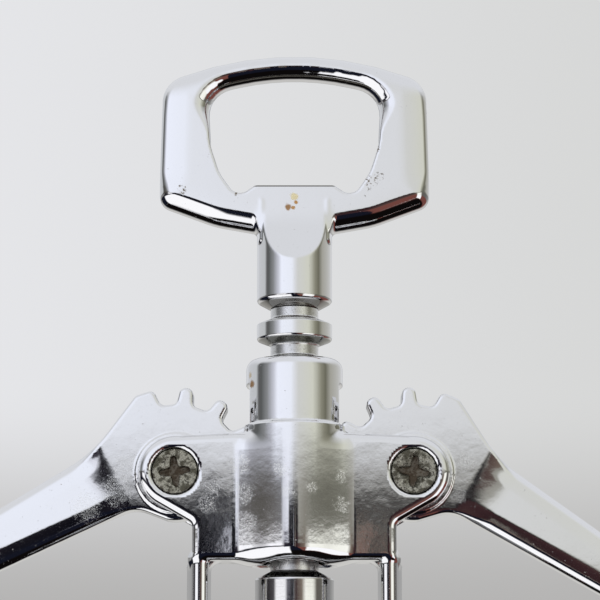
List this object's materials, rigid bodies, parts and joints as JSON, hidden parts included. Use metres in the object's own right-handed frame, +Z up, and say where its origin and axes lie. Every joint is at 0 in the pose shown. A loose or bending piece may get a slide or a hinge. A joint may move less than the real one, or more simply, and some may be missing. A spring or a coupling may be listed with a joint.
{
  "type": "lever corkscrew",
  "caption": "Wing corkscrew: toothed side levers roll on a ringed spindle to lift the worm, with a crown cap opener as its handle.",
  "frame": {"origin": "centre of the bell's lower rim, on the spindle's axis, where the bottle seats", "axes": "+Z up the spindle to the handle, -Y to the front, the levers swing left and right in the XZ plane"},
  "size_m": [0.1941, 0.0378, 0.1652],
  "materials": {
    "cast_chrome": "worn chrome plating on a zinc casting",
    "turned_chrome": "chrome plating over turned rings, dull in the grooves",
    "bright_steel": "drawn steel",
    "dull_steel": "aged steel with rust in the recess"
  },
  "bodies": {
    "frame": {"frame": "cast_chrome", "left_pivot_screw": "dull_steel", "right_pivot_screw": "dull_steel", "left_pivot_bush": "dull_steel", "right_pivot_bush": "dull_steel"},
    "rack": {"spindle_rings": "turned_chrome"},
    "spindle": {"handle": "cast_chrome", "core_rod": "bright_steel", "worm_holder": "turned_chrome", "worm": "bright_steel"},
    "left_arm": {"left_lever": "cast_chrome"},
    "right_arm": {"right_lever": "cast_chrome"}
  },
  "joints": [
    {"name": "rack_slide", "type": "slide", "parent": "frame", "child": "rack", "axis": [0, 0, 1], "range_m": [-0.0222, 0.0145]},
    {"name": "handle_turn", "type": "hinge", "parent": "rack", "child": "spindle", "pos_m": [0, 0, 0.09], "axis": [0, 0, 1], "continuous": true},
    {"name": "right_lever_pivot", "type": "hinge", "parent": "frame", "child": "right_arm", "pos_m": [0.02065, 0, 0.09], "axis": [0, 1, 0], "range_deg": [-87.2, 57]},
    {"name": "left_lever_pivot", "type": "hinge", "parent": "frame", "child": "left_arm", "pos_m": [-0.02065, 0, 0.09], "axis": [0, -1, 0], "range_deg": [-87.2, 57]}
  ],
  "couplings": [
    {"joint": "right_lever_pivot", "follows": "rack_slide", "rad_per_m": 68.399},
    {"joint": "left_lever_pivot", "follows": "rack_slide", "rad_per_m": 68.399}
  ]
}
